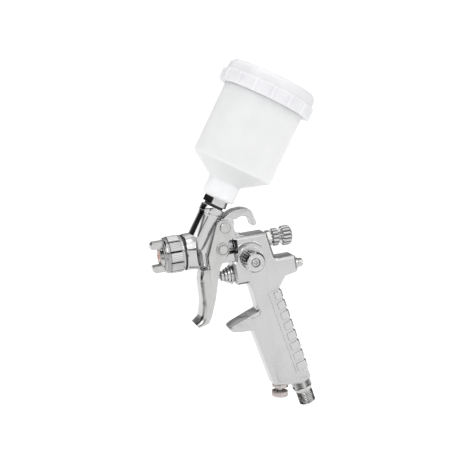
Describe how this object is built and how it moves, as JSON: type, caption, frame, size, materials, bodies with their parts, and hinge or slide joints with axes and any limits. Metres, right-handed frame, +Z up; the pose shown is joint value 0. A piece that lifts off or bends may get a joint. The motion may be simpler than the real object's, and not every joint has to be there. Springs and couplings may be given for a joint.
{
  "type": "hvlp spray gun",
  "caption": "Compact gravity-feed paint spray gun: polished head, pull trigger, leaning grip with hook, plastic cup on a tilted spout, fan, fluid and air knobs.",
  "frame": {"origin": "centre of the air inlet's thread where it starts below the hexagon", "axes": "+X back along the barrel from nozzle to fluid knob, +Z up with the barrel level, -Y the gun's left side"},
  "size_m": [0.1371, 0.074, 0.276],
  "materials": {
    "satin_chrome": "satin pearl chrome plate",
    "polished_chrome": "polished",
    "satin_nickel": "satin nickel plate",
    "nozzle_brass": "turned",
    "bright_steel": "turned stainless steel",
    "warm_nickel": "warm nickel plate",
    "black_rubber": "matt",
    "white_seal": "PTFE",
    "cup_plastic": "milky translucent nylon",
    "lid_plastic": "milky white polyethylene",
    "filter_nylon": "moulded nylon"
  },
  "bodies": {
    "gun": {"gun_body": "satin_chrome", "inlet_collar": "polished_chrome", "fluid_nozzle": "nozzle_brass", "air_distributor": "nozzle_brass", "head_seal": "black_rubber", "needle_packing": "white_seal", "packing_nut": "satin_nickel", "needle_spring": "bright_steel", "fluid_bush": "satin_nickel", "trigger_pivot": "satin_nickel", "pivot_nut": "satin_nickel", "air_valve_nut": "polished_chrome", "air_valve_packing": "white_seal", "air_valve_seat": "nozzle_brass", "air_valve_spring": "bright_steel", "air_valve_plug": "satin_nickel", "fan_bush": "satin_nickel", "regulator_bush": "warm_nickel", "air_inlet": "satin_nickel"},
    "cap_carrier": {"cap_washer": "white_seal"},
    "ring": {"retaining_ring": "polished_chrome"},
    "cap": {"air_cap": "satin_nickel"},
    "trigger": {"trigger": "satin_nickel", "needle_pin": "satin_nickel", "pin_washers": "satin_nickel"},
    "needle": {"needle": "bright_steel", "needle_collar": "bright_steel"},
    "air_valve": {"air_valve_stem": "bright_steel", "air_valve_poppet": "bright_steel"},
    "fluid_carrier": {"spring_button": "bright_steel"},
    "fluid_control": {"fluid_knob": "polished_chrome"},
    "fluid_lock": {"fluid_lock_ring": "polished_chrome"},
    "fan_carrier": {"fan_oring": "black_rubber"},
    "fan_control": {"fan_stem": "bright_steel", "fan_knob": "polished_chrome", "fan_knob_screw": "bright_steel"},
    "regulator_carrier": {"regulator_oring": "black_rubber"},
    "regulator": {"regulator_stem": "bright_steel", "regulator_knob": "warm_nickel"},
    "cup_carrier": {"connector_seal": "black_rubber"},
    "cup": {"cup": "cup_plastic", "cup_connector": "polished_chrome", "cup_seal": "white_seal", "paint_filter": "filter_nylon"},
    "lid_carrier": {"lid_gasket": "white_seal"},
    "lid": {"lid": "lid_plastic"},
    "vent": {"vent_cap": "lid_plastic"}
  },
  "joints": [
    {"name": "ring_advance", "type": "slide", "parent": "gun", "child": "cap_carrier", "axis": [-1, 0, 0], "range_m": [0, 0.003]},
    {"name": "ring_turn", "type": "hinge", "parent": "cap_carrier", "child": "ring", "pos_m": [-0.08349, 0, 0.12675], "axis": [-1, 0, 0], "range_deg": [0, 1080]},
    {"name": "air_cap_turn", "type": "hinge", "parent": "cap_carrier", "child": "cap", "pos_m": [-0.08349, 0, 0.12675], "axis": [1, 0, 0], "continuous": true},
    {"name": "trigger_pull", "type": "hinge", "parent": "gun", "child": "trigger", "pos_m": [-0.05149, 0, 0.14205], "axis": [0, -1, 0], "range_deg": [0, 11], "stiffness_Nm_per_rad": 1.2, "springref_deg": -11.46},
    {"name": "needle_travel", "type": "slide", "parent": "gun", "child": "needle", "axis": [1, 0, 0], "range_m": [0, 0.0032], "deforming": ["needle_spring"]},
    {"name": "air_valve_travel", "type": "slide", "parent": "gun", "child": "air_valve", "axis": [1, 0, 0], "range_m": [0, 0.00765], "deforming": ["air_valve_spring"]},
    {"name": "fluid_advance", "type": "slide", "parent": "gun", "child": "fluid_carrier", "axis": [1, 0, 0], "range_m": [-0.001, 0.003], "deforming": ["needle_spring"]},
    {"name": "fluid_turn", "type": "hinge", "parent": "fluid_carrier", "child": "fluid_control", "pos_m": [-0.00649, 0, 0.12675], "axis": [1, 0, 0], "range_deg": [-360, 1080]},
    {"name": "fluid_lock_turn", "type": "hinge", "parent": "gun", "child": "fluid_lock", "pos_m": [-0.00649, 0, 0.12675], "axis": [1, 0, 0], "range_deg": [0, 180]},
    {"name": "fan_advance", "type": "slide", "parent": "gun", "child": "fan_carrier", "axis": [0, -1, 0], "range_m": [0, 0.0025]},
    {"name": "fan_turn", "type": "hinge", "parent": "fan_carrier", "child": "fan_control", "pos_m": [-0.03499, -0.0249, 0.11525], "axis": [0, -1, 0], "range_deg": [0, 900]},
    {"name": "regulator_advance", "type": "slide", "parent": "gun", "child": "regulator_carrier", "axis": [-0.1392, 0, -0.9903], "range_m": [-0.003, 0.003]},
    {"name": "regulator_turn", "type": "hinge", "parent": "regulator_carrier", "child": "regulator", "pos_m": [-0.01869, 0, 0.00965], "axis": [-0.1392, 0, -0.9903], "range_deg": [-1080, 1080]},
    {"name": "cup_rise", "type": "slide", "parent": "gun", "child": "cup_carrier", "axis": [0.5446, 0, 0.8387], "range_m": [0, 0.0075]},
    {"name": "cup_turn", "type": "hinge", "parent": "cup_carrier", "child": "cup", "pos_m": [-0.0564, 0, 0.15769], "axis": [0.5446, 0, 0.8387], "range_deg": [0, 2160]},
    {"name": "lid_lift", "type": "slide", "parent": "cup", "child": "lid_carrier", "axis": [0.5446, 0, 0.8387], "range_m": [0, 0.03]},
    {"name": "lid_turn", "type": "hinge", "parent": "lid_carrier", "child": "lid", "pos_m": [-0.00106, 0, 0.2429], "axis": [0.5446, 0, 0.8387], "continuous": true},
    {"name": "vent_lift", "type": "slide", "parent": "lid", "child": "vent", "axis": [0.5446, 0, 0.8387], "range_m": [0, 0.005]}
  ],
  "couplings": [
    {"joint": "ring_turn", "follows": "ring_advance", "rad_per_m": 6283.2},
    {"joint": "needle_travel", "follows": "trigger_pull", "m_per_rad": 0.0164},
    {"joint": "air_valve_travel", "follows": "trigger_pull", "m_per_rad": 0.0396},
    {"joint": "fluid_turn", "follows": "fluid_advance", "rad_per_m": 6283.2},
    {"joint": "fan_turn", "follows": "fan_advance", "rad_per_m": 6283.2},
    {"joint": "regulator_turn", "follows": "regulator_advance", "rad_per_m": 6283.2},
    {"joint": "cup_turn", "follows": "cup_rise", "rad_per_m": 5026.5}
  ]
}
